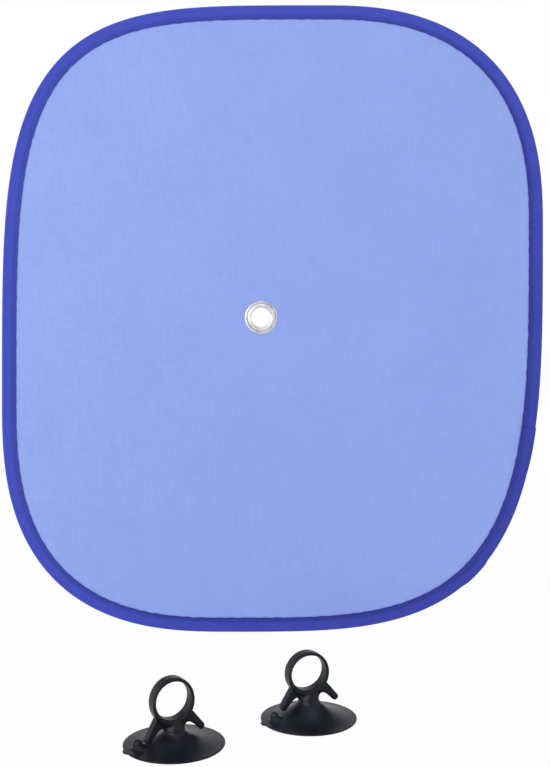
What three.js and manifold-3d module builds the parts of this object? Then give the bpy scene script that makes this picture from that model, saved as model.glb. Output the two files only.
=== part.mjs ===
// Car side window sunshade: a pale fabric panel on a sprung wire hoop, with a metal eyelet in its middle,
// and the two suction cups that hold it to the glass, off the panel and standing in front of it.
// Millimetres. The origin is the middle of the eyelet, +Z is up and +Y points at the window glass.

import * as THREE from 'three';
import { mergeVertices } from 'three/addons/utils/BufferGeometryUtils.js';
import Module from 'manifold-3d';

const wasm = await Module();
wasm.setup();

// Left between two pieces that touch
const seatGap = 0.3;

// Outline of the panel. A crest is the place where a side stands out furthest.
const shadeWidth = 380;
const shadeHeight = 440;
const outlineMiddle = { x: 8, z: -0.7 };
const topCrestX = 37;
const rightCrestZ = 66;
const bottomCrestX = -32;
const leftCrestZ = -59;

// How full each corner is: 2 is a plain ellipse, more is squarer
const topRightFullness = 2.5;
const topLeftFullness = 4.1;
const bottomLeftFullness = 2.65;
const bottomRightFullness = 3.6;

// Sprung hoop. Places on the hoop are turns round it, anticlockwise from the right-hand crest.
const wireDiameter = 1.4;
const wireEndGap = 0.6;
const sleeveLength = 14;
const sleeveWall = 0.4;
const sleevePlace = 0.8175;
const hoopSteps = 80;

// Folded tape that binds the edge
const tapeThickness = 0.5;
const tapeReach = 10;
const tapeLapLength = 15;
const tapeLapPlace = 0.8925;
const swellTaper = 7;

const fabricThickness = 0.4;

// Two-part eyelet
const eyeletHoleDiameter = 13.5;
const flangeDiameter = 22.4;
const eyeletSheet = 0.5;
const flangeRise = 1.6;
const washerDiameter = 22.8;
const washerThickness = 0.5;
const lipDiameter = 18.8;
const lipBendRadius = 0.9;

// Suction cup: bell, neck and rim
const cupDiameter = 53;
const rimFlat = 1.5;
const rimThickness = 0.9;
const hollowDepth = 4;
const hollowShape = 1.2;
const bellShape = 1.55;
const neckPlay = 1;
const neckFootHeight = 10.6;
const neckTopHeight = 11.8;
const neckCrownHeight = 14;

// Suction cup: finger ring, and the two wings that catch behind the eyelet
const ringHalfWidth = 12.2;
const ringHalfHeight = 12;
const ringHeight = 25.3;
const ringWall = 1.9;
const ringTopWall = 1.9;
const ringSeatWall = 3.4;
const ringDepth = 7;
const wingDepth = 4.4;
const headEdge = 0.7;
const wingRootAngle = -31;
const wingSlope = 56;
const wingTipReach = 15.4;
const wingTipHeight = 9.5;
const wingTipRadius = 1.9;
const notchReach = 2;

// Suction cup: release knob and the tab on the rim beside it
const knobDiameter = 4.9;
const knobRise = 4.3;
const knobSkirtDiameter = 9;
const knobSink = 0.5;
const knobWaistAngle = -15;
const knobReach = 19.6;
const knobAngle = 177;
const tabReach = 1.3;
const tabWidth = 6;

// Where the cups stand and how far their soft heads lean over. The left cup is pressed down, which takes
// some height out of its bell, and its ring is squeezed a little narrower and taller.
const rightCupStand = { x: 28.3, y: -167.5, turn: 23, lean: 4, pressed: 0, squeeze: 1 };
const leftCupStand = { x: -42.3, y: -204, turn: 29, lean: 5, pressed: 3.2, squeeze: 0.96 };

const fabricColour = 0x97abf0;
const tapeColour = 0x4a57c0;
const steelColour = 0x9a9da2;
const nickelColour = 0xd8d9dc;
const cupColour = 0x23262c;

// Derived sizes
const halfFabric = fabricThickness / 2;
const wireRadius = wireDiameter / 2;
const sleeveInner = wireRadius + seatGap;
const sleeveOuter = sleeveInner + sleeveWall;
const hoopInset = wireRadius + seatGap + tapeThickness;
const fabricInset = hoopInset + sleeveOuter + 2 * seatGap;
const groundZ = outlineMiddle.z - shadeHeight / 2;
const holeRadius = eyeletHoleDiameter / 2;
const barrelRadius = holeRadius + eyeletSheet;
const cupRadius = cupDiameter / 2;
const neckRadius = holeRadius - neckPlay;
const notchHeight = ringHeight - ringHalfHeight;

function material(color, roughness, metalness) {
  return new THREE.MeshStandardMaterial({ color, roughness, metalness });
}

function piece(name, geometry, finish) {
  const mesh = new THREE.Mesh(geometry, finish);
  mesh.name = name;
  return mesh;
}

// A point on a quarter superellipse, from (across, 0) at no angle to (0, up) at a right angle
function quarterPoint(across, up, fullness, angle) {
  const c = Math.cos(angle);
  const s = Math.sin(angle);
  const grow = (Math.abs(c) ** fullness + Math.abs(s) ** fullness) ** (-1 / fullness);
  return new THREE.Vector2(across * c * grow, up * s * grow);
}

// The outline of the panel: four quarters that meet at the four crests, anticlockwise from the right
class OutlineCurve extends THREE.Curve {
  constructor() {
    super();
    this.arcLengthDivisions = 1600;
    const top = shadeHeight / 2;
    const right = shadeWidth / 2;
    const quarter = (crestX, crestZ, across, up, full) => ({ crestX, crestZ, across, up, full });
    this.quarters = [
      quarter(topCrestX, rightCrestZ, right - topCrestX, top - rightCrestZ, topRightFullness),
      quarter(topCrestX, leftCrestZ, right + topCrestX, top - leftCrestZ, topLeftFullness),
      quarter(bottomCrestX, leftCrestZ, right + bottomCrestX, top + leftCrestZ, bottomLeftFullness),
      quarter(bottomCrestX, rightCrestZ, right - bottomCrestX, top + rightCrestZ, bottomRightFullness),
    ];
  }

  getPoint(t, target = new THREE.Vector3()) {
    const turn = (t - Math.floor(t)) * 4;
    const number = Math.floor(turn);
    const quarter = this.quarters[number];
    const angle = (turn - number) * Math.PI / 2;
    const rising = number % 2 === 0;
    const p = quarterPoint(quarter.across, quarter.up, quarter.full, rising ? angle : Math.PI / 2 - angle);
    const x = quarter.crestX + (number === 0 || number === 3 ? p.x : -p.x);
    const z = quarter.crestZ + (number < 2 ? p.y : -p.y);
    return target.set(outlineMiddle.x + x, 0, outlineMiddle.z + z);
  }
}

const outline = new OutlineCurve();
const outlineLength = outline.getLength();

// A point set in from the outline by some depth and moved along Y
function besideOutline(place, inset, y) {
  const turn = place - Math.floor(place);
  const point = outline.getPointAt(turn);
  const along = outline.getTangentAt(turn);
  return new THREE.Vector3(point.x - along.z * inset, y, point.z + along.x * inset);
}

// Places round the hoop: even steps, and closer ones where the sleeve and the tape's lap change the section
function hoopPlaces() {
  const places = [];
  for (let i = 0; i < hoopSteps; i++) {
    places.push(i / hoopSteps);
  }
  const sleeveHalf = sleeveLength / 2;
  const lapHalf = tapeLapLength / 2;
  for (const side of [-1, 1]) {
    for (const reach of [wireEndGap / 2, sleeveHalf, sleeveHalf + swellTaper / 2, sleeveHalf + swellTaper]) {
      places.push(sleevePlace + side * reach / outlineLength);
    }
    for (const reach of [lapHalf, lapHalf + tapeThickness]) {
      places.push(tapeLapPlace + side * reach / outlineLength);
    }
  }
  return places.sort((a, b) => a - b);
}

// Joins loops of points one after the other into one closed skin
function loft(loops, closed) {
  const count = loops[0].length;
  const positions = loops.flat().flatMap((p) => [p.x, p.y, p.z]);
  const index = [];
  const spans = closed ? loops.length : loops.length - 1;
  for (let i = 0; i < spans; i++) {
    const a = i * count;
    const b = ((i + 1) % loops.length) * count;
    for (let j = 0; j < count; j++) {
      const k = (j + 1) % count;
      index.push(a + j, b + k, a + k);
      index.push(a + j, b + j, b + k);
    }
  }
  if (!closed) {
    const last = (loops.length - 1) * count;
    for (let j = 1; j < count - 1; j++) {
      index.push(0, j, j + 1);
      index.push(last, last + j + 1, last + j);
    }
  }
  const geometry = new THREE.BufferGeometry();
  geometry.setAttribute('position', new THREE.Float32BufferAttribute(positions, 3));
  geometry.setIndex(index);
  return geometry;
}

function sleeveDistance(place) {
  return Math.abs(place - sleevePlace) * outlineLength;
}

// Radius of the space that the tape leaves round the wire. It swells over the joining sleeve.
function beadInnerRadius(place) {
  const beyond = (sleeveDistance(place) - sleeveLength / 2) / swellTaper;
  const swell = 1 - THREE.MathUtils.smoothstep(beyond, 0, 1);
  return wireRadius + seatGap + swell * (sleeveOuter - wireRadius);
}

// The tape is double where its end laps over its start
function tapeAt(place) {
  const lapped = Math.abs(place - tapeLapPlace) * outlineLength < tapeLapLength / 2 + tapeThickness / 2;
  return lapped ? 2 * tapeThickness : tapeThickness;
}

// Section of the binding: a bead round the wire and two legs that hold the fabric between them
function bindingLoop(place) {
  const inner = beadInnerRadius(place);
  const outer = inner + tapeAt(place);
  const slot = halfFabric + seatGap;
  const leg = slot + tapeAt(place);
  const section = [];
  const addArc = (radius, from, to, steps) => {
    for (let i = 0; i <= steps; i++) {
      const angle = from + (to - from) * i / steps;
      section.push([hoopInset + radius * Math.cos(angle), radius * Math.sin(angle)]);
    }
  };
  const outerMeet = Math.asin(leg / outer);
  const innerMeet = Math.asin(slot / inner);
  section.push([tapeReach, leg]);
  addArc(outer, outerMeet, 2 * Math.PI - outerMeet, 8);
  section.push([tapeReach, -leg]);
  section.push([tapeReach, -slot]);
  addArc(inner, 2 * Math.PI - innerMeet, innerMeet, 7);
  section.push([tapeReach, slot]);
  return section.map(([inset, y]) => besideOutline(place, inset, y));
}

function edgeBinding() {
  return loft(hoopPlaces().map(bindingLoop), true);
}

function fabricPanel() {
  const edge = hoopPlaces().map((place) => {
    const p = besideOutline(place, fabricInset, 0);
    return new THREE.Vector2(p.x, p.z);
  });
  const shape = new THREE.Shape(edge);
  shape.holes.push(new THREE.Path().absarc(0, 0, barrelRadius + seatGap, 0, 2 * Math.PI));
  const geometry = new THREE.ExtrudeGeometry(shape, {
    depth: fabricThickness,
    bevelEnabled: false,
    curveSegments: 36,
  });
  geometry.translate(0, 0, -halfFabric);
  geometry.rotateX(Math.PI / 2);
  return geometry;
}

// A round loop of points about the hoop's wire line
function wireLoop(place, radius, sides) {
  const loop = [];
  for (let i = 0; i < sides; i++) {
    const angle = 2 * Math.PI * i / sides;
    loop.push(besideOutline(place, hoopInset + radius * Math.cos(angle), radius * Math.sin(angle)));
  }
  return loop;
}

// Spring wire: once round the hoop, from one side of the joining sleeve's middle to the other
function hoopWire() {
  const halfGap = wireEndGap / 2 / outlineLength;
  const start = sleevePlace + halfGap;
  const end = 1 + sleevePlace - halfGap;
  const between = [];
  for (const place of [...hoopPlaces(), ...hoopPlaces().map((p) => p + 1)]) {
    if (place > start && place < end) {
      between.push(place);
    }
  }
  return loft([start, ...between, end].map((place) => wireLoop(place, wireRadius, 8)), false);
}

// Crimped sleeve round the two wire ends
function hoopSleeve() {
  const steps = 4;
  const places = [];
  for (let i = 0; i <= steps; i++) {
    places.push(sleevePlace + (i / steps - 0.5) * sleeveLength / outlineLength);
  }
  const outside = places.map((place) => wireLoop(place, sleeveOuter, 12));
  const inside = places.map((place) => wireLoop(place, sleeveInner, 12)).reverse();
  return loft([...outside, ...inside], true);
}

// Turns a closed profile of [radius, along] points about the Y axis
function turned(profile, segments) {
  const points = profile.map(([radius, along]) => new THREE.Vector2(radius, along));
  return new THREE.LatheGeometry(points, segments);
}

function arcPoints(centre, across, along, from, to, steps) {
  const points = [];
  for (let i = 0; i <= steps; i++) {
    const angle = THREE.MathUtils.degToRad(from + (to - from) * i / steps);
    points.push([centre[0] + across * Math.cos(angle), centre[1] + along * Math.sin(angle)]);
  }
  return points;
}

// Eyelet: a domed flange behind the fabric, a barrel through it and a lip rolled over the washer in front.
// Its profile is drawn with the lip at the top, and turned over at the end.
function eyeletBarrel() {
  const flangeRadius = flangeDiameter / 2;
  const crown = [(holeRadius + flangeRadius) / 2, -halfFabric - seatGap];
  const crownHalf = (flangeRadius - holeRadius) / 2;
  const lipSeat = halfFabric + seatGap + washerThickness + seatGap;
  const lipBend = [holeRadius + lipBendRadius, lipSeat + eyeletSheet - lipBendRadius];
  const insideBend = lipBendRadius - eyeletSheet;
  const profile = [
    ...arcPoints(crown, crownHalf, flangeRise, 180, 360, 9),
    ...arcPoints(crown, crownHalf - eyeletSheet, flangeRise - eyeletSheet, 360, 180, 6),
    ...arcPoints(lipBend, insideBend, insideBend, 180, 90, 2),
    [lipDiameter / 2, lipSeat],
    [lipDiameter / 2, lipSeat + eyeletSheet],
    ...arcPoints(lipBend, lipBendRadius, lipBendRadius, 90, 180, 4),
  ];
  return turned([...profile, profile[0]], 36).rotateX(Math.PI);
}

// Washer in front of the fabric: a flat ring with its outer edge rounded
function eyeletWasher() {
  const inner = barrelRadius + seatGap;
  const outer = washerDiameter / 2;
  const seat = halfFabric + seatGap;
  const face = seat + washerThickness;
  const edge = washerThickness / 2;
  const rounded = [[outer - edge, seat], [outer, seat + edge], [outer - edge, face]];
  const profile = [[inner, seat], ...rounded, [inner, face]];
  return turned([...profile, profile[0]], 36).rotateX(Math.PI);
}

// Height of the bell's upper face at some distance from its axis
function bellHeight(radius, footHeight) {
  const part = (cupRadius - radius) / (cupRadius - neckRadius);
  return footHeight - (footHeight - rimThickness) * (1 - part ** bellShape) ** (1 / bellShape);
}

// Bell and neck, turned about Z: flat rim, hollow underside, trumpet flare and round neck
function bell(pressed) {
  const hollow = hollowDepth - pressed;
  const foot = neckFootHeight - pressed;
  const hollowRadius = cupRadius - rimFlat;
  const steps = 7;
  const profile = [];
  for (let i = 0; i <= steps; i++) {
    profile.push([hollowRadius * i / steps, hollow * (1 - (i / steps) ** hollowShape)]);
  }
  profile.push([cupRadius, 0]);
  const flareSteps = 9;
  for (let i = flareSteps; i >= 0; i--) {
    const angle = Math.PI / 2 * i / flareSteps;
    const flare = quarterPoint(cupRadius - neckRadius, foot - rimThickness, bellShape, angle);
    profile.push([cupRadius - flare.x, foot - flare.y]);
  }
  const top = neckTopHeight - pressed;
  profile.push(...arcPoints([0, top], neckRadius, neckCrownHeight - neckTopHeight, 0, 90, 4));
  profile[profile.length - 1][0] = 0;
  const geometry = turned(profile, 36);
  geometry.rotateX(Math.PI / 2);
  return geometry;
}

// Right half of the wings' outline in the ring's plane: from under the neck out round the tip, up to the
// ring and back to the middle inside the ring's wall
function wingHalf() {
  const path = new THREE.Path();
  const slope = THREE.MathUtils.degToRad(wingSlope);
  const root = THREE.MathUtils.degToRad(wingRootAngle);
  const notchX = neckRadius + notchReach;
  const inner = slope - Math.PI;
  const underX = wingTipReach + wingTipRadius * Math.cos(inner);
  const underZ = wingTipHeight + wingTipRadius * Math.sin(inner);
  const middleWidth = ringHalfWidth - ringWall / 2;
  const middleHeight = ringHalfHeight - ringSeatWall / 2;
  path.moveTo(0, neckFootHeight);
  path.lineTo(neckRadius - seatGap, neckFootHeight);
  path.quadraticCurveTo(neckRadius, notchHeight, notchX, notchHeight);
  path.quadraticCurveTo(notchX + notchReach, notchHeight, underX, underZ);
  path.absarc(wingTipReach, wingTipHeight, wingTipRadius, inner, slope, false);
  path.lineTo(ringHalfWidth * Math.cos(root), ringHeight + ringHalfHeight * Math.sin(root));
  path.absellipse(0, ringHeight, middleWidth, middleHeight, root, -Math.PI / 2, true);
  return path.getPoints(6);
}

// A flat part of the head with rounded edges, set up in its plane as the head stands
function headPart(shape, depth, stand) {
  const geometry = new THREE.ExtrudeGeometry(shape, {
    depth: depth - 2 * headEdge,
    bevelThickness: headEdge,
    bevelSize: headEdge,
    bevelOffset: -headEdge,
    bevelSegments: 2,
  });
  geometry.translate(0, -neckFootHeight, headEdge - depth / 2);
  geometry.scale(stand.squeeze, 1 / stand.squeeze, 1);
  geometry.rotateZ(THREE.MathUtils.degToRad(stand.lean));
  geometry.translate(0, neckFootHeight - stand.pressed, 0);
  return geometry.rotateX(Math.PI / 2);
}

function wings(stand) {
  const half = wingHalf();
  const other = half.slice(1, -1).map((p) => new THREE.Vector2(-p.x, p.y)).reverse();
  return headPart(new THREE.Shape([...half, ...other]), wingDepth, stand);
}

function fingerRing(stand) {
  const holeTop = ringHeight + ringHalfHeight - ringTopWall;
  const holeBottom = ringHeight - ringHalfHeight + ringSeatWall;
  const holeMiddle = (holeTop + holeBottom) / 2;
  const outside = new THREE.Path();
  outside.absellipse(0, ringHeight, ringHalfWidth, ringHalfHeight, 0, 2 * Math.PI);
  const inside = new THREE.Path();
  inside.absellipse(0, holeMiddle, ringHalfWidth - ringWall, (holeTop - holeBottom) / 2, 0, 2 * Math.PI);
  const shape = new THREE.Shape(outside.getPoints(16).slice(0, -1));
  shape.holes.push(new THREE.Path(inside.getPoints(16).slice(0, -1)));
  return headPart(shape, ringDepth, stand);
}

// Release knob: a ball on a spreading skirt, square to the bell's face where it stands
function knob(pressed) {
  const ball = knobDiameter / 2;
  const skirt = knobSkirtDiameter / 2;
  const ballHeight = knobRise - ball;
  const profile = [
    [0, -knobSink],
    [skirt, -knobSink],
    [skirt, 0],
    [(skirt + ball) / 2, ballHeight * 0.3],
    ...arcPoints([0, ballHeight], ball, ball, knobWaistAngle, 90, 5),
  ];
  profile[profile.length - 1][0] = 0;
  const geometry = turned(profile, 14);
  geometry.rotateX(Math.PI / 2);
  const foot = neckFootHeight - pressed;
  const fall = bellHeight(knobReach - ball, foot) - bellHeight(knobReach + ball, foot);
  geometry.rotateY(Math.atan2(fall, 2 * ball));
  geometry.translate(knobReach, 0, bellHeight(knobReach, foot));
  geometry.rotateZ(THREE.MathUtils.degToRad(knobAngle));
  return geometry;
}

// Small tab that stands out of the rim beside the knob
function rimTab() {
  const root = cupRadius - rimFlat / 2;
  const shape = new THREE.Shape();
  shape.moveTo(root, -tabWidth / 2);
  shape.quadraticCurveTo(cupRadius + tabReach, -tabWidth / 4, cupRadius + tabReach, 0);
  shape.quadraticCurveTo(cupRadius + tabReach, tabWidth / 4, root, tabWidth / 2);
  const geometry = new THREE.ExtrudeGeometry(shape, {
    depth: rimThickness,
    bevelEnabled: false,
    curveSegments: 4,
  });
  return geometry.rotateZ(THREE.MathUtils.degToRad(knobAngle));
}

function toSolid(geometry) {
  const bare = geometry.clone();
  bare.deleteAttribute('normal');
  bare.deleteAttribute('uv');
  const merged = mergeVertices(bare, 1e-4);
  return new wasm.Manifold(new wasm.Mesh({
    numProp: 3,
    vertProperties: new Float32Array(merged.attributes.position.array),
    triVerts: new Uint32Array(merged.index.array),
  }));
}

function toGeometry(solid) {
  const mesh = solid.getMesh();
  const geometry = new THREE.BufferGeometry();
  geometry.setAttribute('position', new THREE.BufferAttribute(mesh.vertProperties, 3));
  geometry.setIndex(new THREE.BufferAttribute(mesh.triVerts, 1));
  return geometry;
}

// One soft moulding, standing on its rim
function suctionCup(name, stand) {
  const solid = toSolid(bell(stand.pressed))
    .add(toSolid(wings(stand)))
    .add(toSolid(fingerRing(stand)))
    .add(toSolid(knob(stand.pressed)))
    .add(toSolid(rimTab()));
  const cup = piece(name, toGeometry(solid), material(cupColour, 0.45, 0));
  cup.position.set(stand.x, stand.y, groundZ);
  cup.rotation.z = THREE.MathUtils.degToRad(stand.turn);
  return cup;
}

const sunshade = new THREE.Group();
sunshade.add(piece('fabric_panel', fabricPanel(), material(fabricColour, 0.85, 0)));
sunshade.add(piece('edge_binding', edgeBinding(), material(tapeColour, 0.8, 0)));
sunshade.add(piece('hoop_wire', hoopWire(), material(steelColour, 0.4, 1)));
sunshade.add(piece('hoop_sleeve', hoopSleeve(), material(steelColour, 0.5, 1)));
sunshade.add(piece('eyelet_barrel', eyeletBarrel(), material(nickelColour, 0.25, 1)));
sunshade.add(piece('eyelet_washer', eyeletWasher(), material(nickelColour, 0.3, 1)));
sunshade.add(suctionCup('suction_cup_right', rightCupStand));
sunshade.add(suctionCup('suction_cup_left', leftCupStand));

export default sunshade;
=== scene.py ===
# Car side window sunshade with its two suction cups: looks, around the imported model.
# Metres, in the model's own frame: the origin is the middle of the eyelet, +Z up and +Y towards the glass.
import math

import bmesh
import bpy
import numpy as np
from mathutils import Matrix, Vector


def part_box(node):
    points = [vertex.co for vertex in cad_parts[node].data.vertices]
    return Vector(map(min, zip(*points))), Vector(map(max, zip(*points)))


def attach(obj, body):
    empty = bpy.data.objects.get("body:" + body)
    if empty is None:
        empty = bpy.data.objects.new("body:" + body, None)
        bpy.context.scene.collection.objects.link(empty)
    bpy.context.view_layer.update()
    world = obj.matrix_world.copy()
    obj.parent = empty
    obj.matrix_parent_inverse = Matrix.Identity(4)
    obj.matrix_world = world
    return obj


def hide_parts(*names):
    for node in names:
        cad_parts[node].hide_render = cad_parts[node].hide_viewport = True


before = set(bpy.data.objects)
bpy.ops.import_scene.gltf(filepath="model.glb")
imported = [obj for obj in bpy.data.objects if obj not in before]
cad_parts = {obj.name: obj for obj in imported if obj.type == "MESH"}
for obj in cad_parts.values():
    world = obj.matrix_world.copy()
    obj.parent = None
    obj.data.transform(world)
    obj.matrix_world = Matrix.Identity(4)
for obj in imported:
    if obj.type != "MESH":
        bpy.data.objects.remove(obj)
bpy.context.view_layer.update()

mm = 0.001
groundHeight = min(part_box("edge_binding")[0].z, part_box("suction_cup_right")[0].z)


def newObject(name, data):
    made = bpy.data.objects.new(name, data)
    bpy.context.scene.collection.objects.link(made)
    return made


# The camera of the picture. Its optical axis is level and meets the picture above its middle.
viewer = {
    "imageWidth": 550,
    "imageHeight": 767,
    "focalPixels": 1100,
    "axisPixelY": 318.5,
    "distance": 0.7726,
    "sideways": 0.0098,
    "height": -0.0007,
}


def makeCamera():
    data = bpy.data.cameras.new("viewerCamera")
    data.sensor_width = 36
    longSide = max(viewer["imageWidth"], viewer["imageHeight"])
    data.lens = viewer["focalPixels"] * data.sensor_width / longSide
    data.shift_y = (viewer["axisPixelY"] - viewer["imageHeight"] / 2) / longSide
    data.clip_start = 0.01
    data.clip_end = 50
    camera = newObject("viewerCamera", data)
    camera.location = (viewer["sideways"], -viewer["distance"], viewer["height"])
    camera.rotation_euler = (math.pi / 2, 0, 0)
    bpy.context.scene.camera = camera


makeCamera()
print("camera ready")


# The outline of the panel: where each side stands out furthest from the middle, and how full each corner is
outline = {
    "topCrest": 37 * mm,
    "rightCrest": 66 * mm,
    "bottomCrest": -32 * mm,
    "leftCrest": -59 * mm,
    "fullness": (2.5, 4.1, 2.65, 3.6),
    "samples": 6000,
    "directionStep": 0.4 * mm,
}


def outlinePoints():
    low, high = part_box("fabric_panel")
    bindingLow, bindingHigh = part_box("edge_binding")
    middleX = (low.x + high.x) / 2
    middleZ = (low.z + high.z) / 2
    halfWidth = (bindingHigh.x - bindingLow.x) / 2
    halfHeight = (bindingHigh.z - bindingLow.z) / 2
    top = outline["topCrest"]
    right = outline["rightCrest"]
    bottom = outline["bottomCrest"]
    left = outline["leftCrest"]
    quarters = (
        (top, right, halfWidth - top, halfHeight - right),
        (top, left, halfWidth + top, halfHeight - left),
        (bottom, left, halfWidth + bottom, halfHeight + left),
        (bottom, right, halfWidth - bottom, halfHeight + right),
    )
    turns = np.arange(outline["samples"]) / outline["samples"] * 4
    number = np.floor(turns).astype(int)
    angle = (turns - number) * math.pi / 2
    angle = np.where(number % 2 == 0, angle, math.pi / 2 - angle)
    full = np.array(outline["fullness"])[number]
    table = np.array(quarters)[number]
    cosine = np.cos(angle)
    sine = np.sin(angle)
    grow = (cosine ** full + sine ** full) ** (-1 / full)
    signX = np.where((number == 0) | (number == 3), 1, -1)
    signZ = np.where(number < 2, 1, -1)
    x = middleX + table[:, 0] + signX * table[:, 2] * cosine * grow
    z = middleZ + table[:, 1] + signZ * table[:, 3] * sine * grow
    return np.column_stack([x, z])


# The outline as one closed line, read at shares of its whole length
class HoopLine:
    def __init__(self):
        points = outlinePoints()
        self.points = np.vstack([points, points[:1]])
        steps = np.hypot(*np.diff(self.points, axis=0).T)
        self.along = np.concatenate([[0], np.cumsum(steps)])
        self.length = self.along[-1]

    def at(self, places):
        distance = np.mod(places, 1) * self.length
        return np.column_stack([np.interp(distance, self.along, self.points[:, k]) for k in (0, 1)])

    def inward(self, places):
        step = outline["directionStep"] / self.length
        ahead = self.at(places + step) - self.at(places - step)
        ahead /= np.hypot(ahead[:, 0], ahead[:, 1])[:, None]
        return np.column_stack([-ahead[:, 1], ahead[:, 0]])

    def inside(self, places, inset):
        return self.at(places) + self.inward(places) * inset


hoop = HoopLine()
print("hoop length", round(hoop.length, 4))


# Shader helpers

def addNode(tree, kind, inputs=None, **settings):
    node = tree.nodes.new(kind)
    for key, value in settings.items():
        setattr(node, key, value)
    for key, value in (inputs or {}).items():
        socket = node.inputs[key]
        if isinstance(value, bpy.types.NodeSocket):
            tree.links.new(value, socket)
        else:
            socket.default_value = value
    return node


def mathNode(tree, operation, first, second=0.0, third=0.0):
    node = addNode(tree, "ShaderNodeMath", {0: first, 1: second, 2: third}, operation=operation)
    return node.outputs[0]


# Sockets 0, 6 and 7 of the mix are its factor and its two colours
def mixColour(tree, factor, first, second):
    node = addNode(tree, "ShaderNodeMix", {0: factor, 6: first, 7: second}, data_type="RGBA")
    return node.outputs[2]


def noiseNode(tree, place, scale, detail=2.0):
    node = addNode(tree, "ShaderNodeTexNoise", {"Vector": place, "Scale": scale, "Detail": detail})
    return node.outputs[0]


def ramp(tree, value, low, high):
    node = addNode(tree, "ShaderNodeMapRange", {"Value": value, "From Min": low, "From Max": high})
    return node.outputs[0]


def startGroup(name, inputs, outputs):
    group = bpy.data.node_groups.new(name, "ShaderNodeTree")
    for socketName, kind, value in inputs:
        socket = group.interface.new_socket(socketName, in_out="INPUT", socket_type=kind)
        if value is not None:
            socket.default_value = value
    for socketName in outputs:
        group.interface.new_socket(socketName, in_out="OUTPUT", socket_type="NodeSocketFloat")
    entry = group.nodes.new("NodeGroupInput")
    leave = group.nodes.new("NodeGroupOutput")
    return group, entry.outputs, leave.inputs


def placeGroup(tree, group, inputs):
    return addNode(tree, "ShaderNodeGroup", inputs, node_tree=group).outputs


# Plain weave: threads pass over and under each other, one pitch apart
def makeWeaveGroup():
    group, given, out = startGroup(
        "plainWeave",
        [("Vector", "NodeSocketVector", None), ("Pitch", "NodeSocketFloat", 0.0006)],
        ["Height", "Gap"],
    )
    parts = addNode(group, "ShaderNodeSeparateXYZ", {0: given["Vector"]}).outputs
    turn = mathNode(group, "DIVIDE", math.pi, given["Pitch"])
    warp = mathNode(group, "SINE", mathNode(group, "MULTIPLY", parts[0], turn))
    weft = mathNode(group, "SINE", mathNode(group, "MULTIPLY", parts[1], turn))
    over = mathNode(group, "GREATER_THAN", mathNode(group, "MULTIPLY", warp, weft), 0.0)
    warpHeight = mathNode(group, "ABSOLUTE", warp)
    weftHeight = mathNode(group, "ABSOLUTE", weft)
    step = mathNode(group, "MULTIPLY", over, mathNode(group, "SUBTRACT", warpHeight, weftHeight))
    group.links.new(mathNode(group, "ADD", weftHeight, step), out["Height"])
    corner = mathNode(group, "MAXIMUM", warpHeight, weftHeight)
    group.links.new(mathNode(group, "SUBTRACT", 1.0, corner), out["Gap"])
    return group


# Uneven threads: short streaks that run both ways
def makeSlubGroup():
    group, given, out = startGroup(
        "threadSlub",
        [
            ("Vector", "NodeSocketVector", None),
            ("Scale", "NodeSocketFloat", 260.0),
            ("Stretch", "NodeSocketFloat", 7.0),
        ],
        ["Streak"],
    )
    parts = addNode(group, "ShaderNodeSeparateXYZ", {0: given["Vector"]}).outputs
    streaks = []
    for along, across in ((0, 1), (1, 0)):
        shortened = mathNode(group, "DIVIDE", parts[along], given["Stretch"])
        pair = {"X": shortened, "Y": parts[across]}
        vector = addNode(group, "ShaderNodeCombineXYZ", pair).outputs[0]
        streaks.append(noiseNode(group, vector, given["Scale"]))
    total = mathNode(group, "ADD", streaks[0], streaks[1])
    group.links.new(mathNode(group, "MULTIPLY", total, 0.5), out["Streak"])
    return group


# Slow, soft change over a surface, with a finer one on top
def makeMottleGroup():
    group, given, out = startGroup(
        "softMottle",
        [("Vector", "NodeSocketVector", None), ("Scale", "NodeSocketFloat", 20.0)],
        ["Broad", "Fine"],
    )
    group.links.new(noiseNode(group, given["Vector"], given["Scale"], 3.0), out["Broad"])
    fineScale = mathNode(group, "MULTIPLY", given["Scale"], 23.0)
    group.links.new(noiseNode(group, given["Vector"], fineScale, 4.0), out["Fine"])
    return group


weaveGroup = makeWeaveGroup()
slubGroup = makeSlubGroup()
mottleGroup = makeMottleGroup()


def startMaterial(name, roughness=0.5, metallic=0.0, specular=0.5):
    material = bpy.data.materials.new(name)
    material.use_nodes = True
    tree = material.node_tree
    shader = tree.nodes["Principled BSDF"]
    shader.inputs["Roughness"].default_value = roughness
    shader.inputs["Metallic"].default_value = metallic
    shader.inputs["Specular IOR Level"].default_value = specular
    return material, tree, shader


def addBump(tree, shader, height, distance, strength=1.0):
    bump = addNode(tree, "ShaderNodeBump", {"Height": height, "Distance": distance, "Strength": strength})
    tree.links.new(bump.outputs[0], shader.inputs["Normal"])


def addRoughness(tree, shader, pattern, values):
    rough = mathNode(tree, "MULTIPLY_ADD", pattern, values["roughChange"], values["roughness"])
    tree.links.new(rough, shader.inputs["Roughness"])


def uvSocket(tree):
    return addNode(tree, "ShaderNodeTexCoord").outputs["UV"]


def objectSocket(tree):
    return addNode(tree, "ShaderNodeTexCoord").outputs["Object"]


# Mesh helpers

def makeObject(name, verts, faces, material, smooth=True):
    mesh = bpy.data.meshes.new(name)
    mesh.from_pydata([tuple(v) for v in verts], [], faces)
    mesh.validate()
    mesh.materials.append(material)
    if smooth:
        mesh.shade_smooth()
    return newObject(name, mesh)


def gridFaces(rows, columns, closeRows, closeColumns):
    faces = []
    for i in range(rows if closeRows else rows - 1):
        for j in range(columns if closeColumns else columns - 1):
            a = i * columns + j
            b = i * columns + (j + 1) % columns
            c = ((i + 1) % rows) * columns + (j + 1) % columns
            d = ((i + 1) % rows) * columns + j
            faces.append((a, b, c, d))
    return faces


def setUv(made, uvOfVertex):
    layer = made.data.uv_layers.new(name="flatPlace")
    for loop in made.data.loops:
        layer.data[loop.index].uv = uvOfVertex[loop.vertex_index]


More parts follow.
